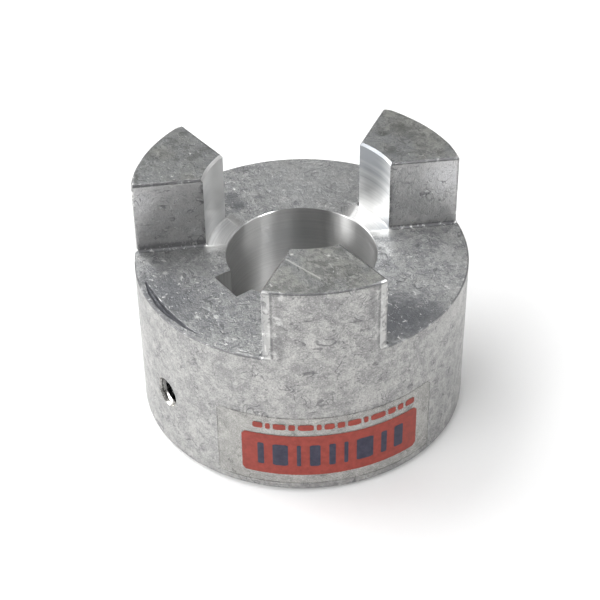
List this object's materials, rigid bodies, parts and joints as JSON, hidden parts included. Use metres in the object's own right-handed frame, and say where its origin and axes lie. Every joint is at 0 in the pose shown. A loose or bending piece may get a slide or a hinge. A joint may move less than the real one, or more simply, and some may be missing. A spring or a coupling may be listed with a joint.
{
  "type": "jaw coupling hub",
  "caption": "Round shaft hub with upright drive jaws around a keyed bore, a radial set screw over the keyway and a film label on its wall.",
  "frame": {"origin": "on the bore's axis, at the back face that the hub stands on", "axes": "+Z along the bore's axis towards the jaws; the keyway and the set screw over it face -Y"},
  "size_m": [0.0844, 0.0842, 0.0629],
  "materials": {
    "hub_aluminium": "as cast and tumbled, with machined bore and jaw faces",
    "screw_steel": "black oxide",
    "label_film": "printed red film"
  },
  "bodies": {
    "hub": {"hub_body": "hub_aluminium", "label_film": "label_film"},
    "screw": {"set_screw": "screw_steel"}
  },
  "joints": [
    {"name": "set_screw_travel", "type": "slide", "parent": "hub", "child": "screw", "axis": [0, -1, 0], "range_m": [-0.00141, 0.0127]}
  ]
}
